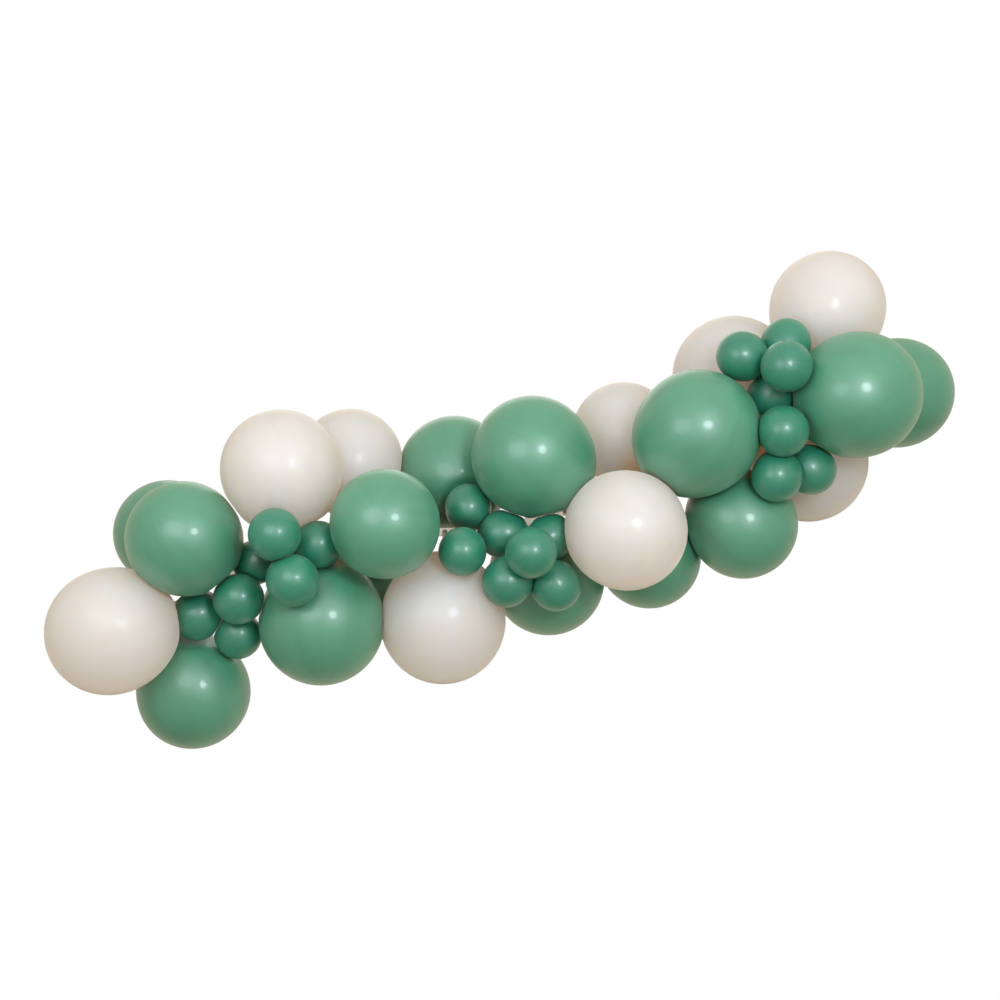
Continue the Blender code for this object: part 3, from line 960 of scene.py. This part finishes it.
def clear_plastic():
    """Clear vinyl with rubbed patches."""
    material, tree, shader = new_finish("clear_strip")
    place = tree.nodes.new("ShaderNodeTexCoord").outputs["Object"]
    rubbed = noise(tree, place, scale=35.0, detail=4.0)
    tint = mixed(tree, rubbed, (0.93, 0.95, 0.95, 1), (0.80, 0.83, 0.83, 1))
    rough = calc(tree, "MULTIPLY_ADD", rubbed, RUBBED_ROUGHNESS, CLEAR_ROUGHNESS)
    wavy = put(tree, "ShaderNodeBump", {
        "Height": noise(tree, place, scale=60.0, detail=1.0), "Strength": 0.25,
        "Distance": 0.001,
    })
    fill(tree, shader, {
        "Base Color": tint, "Roughness": rough, "Normal": wavy.outputs["Normal"], "IOR": 1.53,
        "Transmission Weight": 0.85,
    })
    return material


vinyl = clear_plastic()
print("plastic", vinyl.name, len(vinyl.node_tree.nodes), "nodes")


# %% The strip, drawn along the measured line and punched
def nearest_run(place):
    """The direction along the strip, and across it, where it passes this place."""
    middles = (strip_line[1:] + strip_line[:-1]) / 2
    i = int(np.argmin(np.linalg.norm(middles - place, axis=1)))
    return unit(strip_line[i + 1] - strip_line[i]), unit(strip_across[i] + strip_across[i + 1])


def strip_object():
    route = points_object("strip_route", {"place": strip_line, "across": strip_across})
    route.data.edges.add(len(strip_line) - 1)
    for number, edge in enumerate(route.data.edges):
        edge.vertices = number, number + 1
    holes = points_object("strip_punches", {
        "place": strip_holes, "facing": [np.cross(*nearest_run(hole)) for hole in strip_holes],
    })
    mesh = grown(route, punched_strip, {
        "Holes": holes, "Width": STRIP_WIDTH, "Thickness": STRIP_THICKNESS,
        "Hole Radius": HOLE_RADIUS, "Plastic": vinyl,
    })
    bpy.data.objects.remove(holes)
    strip = added("strip_ribbon", mesh)
    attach(strip, "root")
    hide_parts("strip")
    return strip


strip = strip_object()
print("strip", len(strip.data.polygons), "faces")

# %% [markdown]
# ## Floor and light
# The garland is shown against plain white, above a pale floor. A small lamp beside the camera
# makes the clear glint on each balloon, and a wider, weaker one on the left makes the broad
# one. A large lamp above lights the tops, and one behind lights the back. Neither the lamp above
# nor the floor is mirrored in the balloons: that lamp would add a third glint, and the floor
# would grey their undersides. The glints could be painted on, but lamps keep them right when
# the garland is turned.

# %% The floor
FLOOR_LEVEL = -2.5      # from the right-hand tab, in metres
FLOOR_RADIUS = 1.5
GARLAND_MIDDLE = Vector((CAMERA_PLACE.x, -0.3, CAMERA_PLACE.z))

disc = bmesh.new()
bmesh.ops.create_circle(
    disc, cap_ends=True, segments=128, radius=FLOOR_RADIUS,
    matrix=Matrix.Translation((GARLAND_MIDDLE.x, GARLAND_MIDDLE.y, FLOOR_LEVEL)),
)
mesh = bpy.data.meshes.new("floor")
disc.to_mesh(mesh)
disc.free()
pale, pale_tree, pale_shader = new_finish("pale_floor")
fill(pale_tree, pale_shader, {"Base Color": (0.84, 0.80, 0.73, 1), "Roughness": 0.8})
mesh.materials.append(pale)
floor = added("floor", mesh)
floor.visible_glossy = False
print("floor", FLOOR_LEVEL, "m, radius", FLOOR_RADIUS, "m")


# %% The four lamps
def soft_lamp(name, place, width, height, power, colour):
    """A round or oval lamp that faces the garland's middle; its power is in watts."""
    lamp = bpy.data.lights.new(name, "AREA")
    lamp.shape = "ELLIPSE"
    lamp.size, lamp.size_y = width, height
    lamp.energy = power
    lamp.color = colour
    obj = added(name, lamp)
    obj.location = place
    obj.rotation_euler = (GARLAND_MIDDLE - Vector(place)).to_track_quat("-Z", "Y").to_euler()
    return obj


window = soft_lamp(
    "window", (0.6, -1.5, 1.1), width=1.6, height=1.2, power=6, colour=(1.0, 0.99, 0.95)
)
window.visible_glossy = False
soft_lamp("back", (-0.9, 2.6, 1.3), width=3.2, height=2.4, power=18, colour=(0.90, 0.95, 1.0))
soft_lamp("key", (-0.05, -2.5, 0.22), width=0.62, height=0.62, power=21, colour=(0.84, 0.91, 1.0))
soft_lamp("fill", (-1.55, -1.9, 0.1), width=1.2, height=0.9, power=8, colour=(0.84, 0.92, 1.0))

# %% [markdown]
# ## The surround
# The room's own light is soft. Most of it comes from above and in front, and little from below
# and from behind. Only the camera sees the surround as plain white: if the balloons saw it
# too, their edges would be washed out. An evenly grey world would be simpler, but it would
# leave them flat. Colours are shown as they are, so that white stays white.

# %% The surround
HEIGHT_CURVE = 0.7      # below 1, the light from above reaches further down
WALL_EDGE = 1.6         # how soon, towards the back, the light from behind takes over
MIRRORED_LESS = 0.3     # how much darker the rest of it is where it is mirrored


def surround(above, below, behind, rim):
    """Plain white to the camera; on the garland, soft light by where it comes from.

    rim is the light from behind where it is mirrored, as it is along a balloon's edge.
    """
    world = bpy.data.worlds.new("surround")
    world.use_nodes = True
    tree = world.node_tree
    direction = tree.nodes.new("ShaderNodeTexCoord").outputs["Generated"]
    toward = put(tree, "ShaderNodeSeparateXYZ", {0: direction}).outputs
    height = calc(tree, "POWER", calc(tree, "MULTIPLY_ADD", toward["Z"], 0.5, 0.5), HEIGHT_CURVE)
    depth = calc(tree, "MAXIMUM", calc(tree, "MULTIPLY", toward["Y"], WALL_EDGE), 0)
    depth = calc(tree, "MINIMUM", depth, 1)
    rays = tree.nodes.new("ShaderNodeLightPath").outputs
    wall = mixed(tree, rays["Is Glossy Ray"], (*behind, 1), (*rim, 1))
    open_side = mixed(tree, height, (*below, 1), (*above, 1))
    darker = calc(tree, "MULTIPLY", rays["Is Glossy Ray"], MIRRORED_LESS)
    dimmed = mixed(tree, darker, open_side, (0, 0, 0, 1))
    soft = mixed(tree, depth, dimmed, wall)
    background = tree.nodes["Background"]
    tree.links.new(mixed(tree, rays["Is Camera Ray"], soft, (1, 1, 1, 1)), background.inputs["Color"])
    bpy.context.scene.world = world


surround(
    above=(0.90, 0.88, 0.81), below=(0.19, 0.15, 0.08), behind=(0.26, 0.21, 0.12),
    rim=(0.75, 0.68, 0.53),
)
bpy.context.scene.view_settings.view_transform = "Standard"
print("world", bpy.context.scene.world.name)
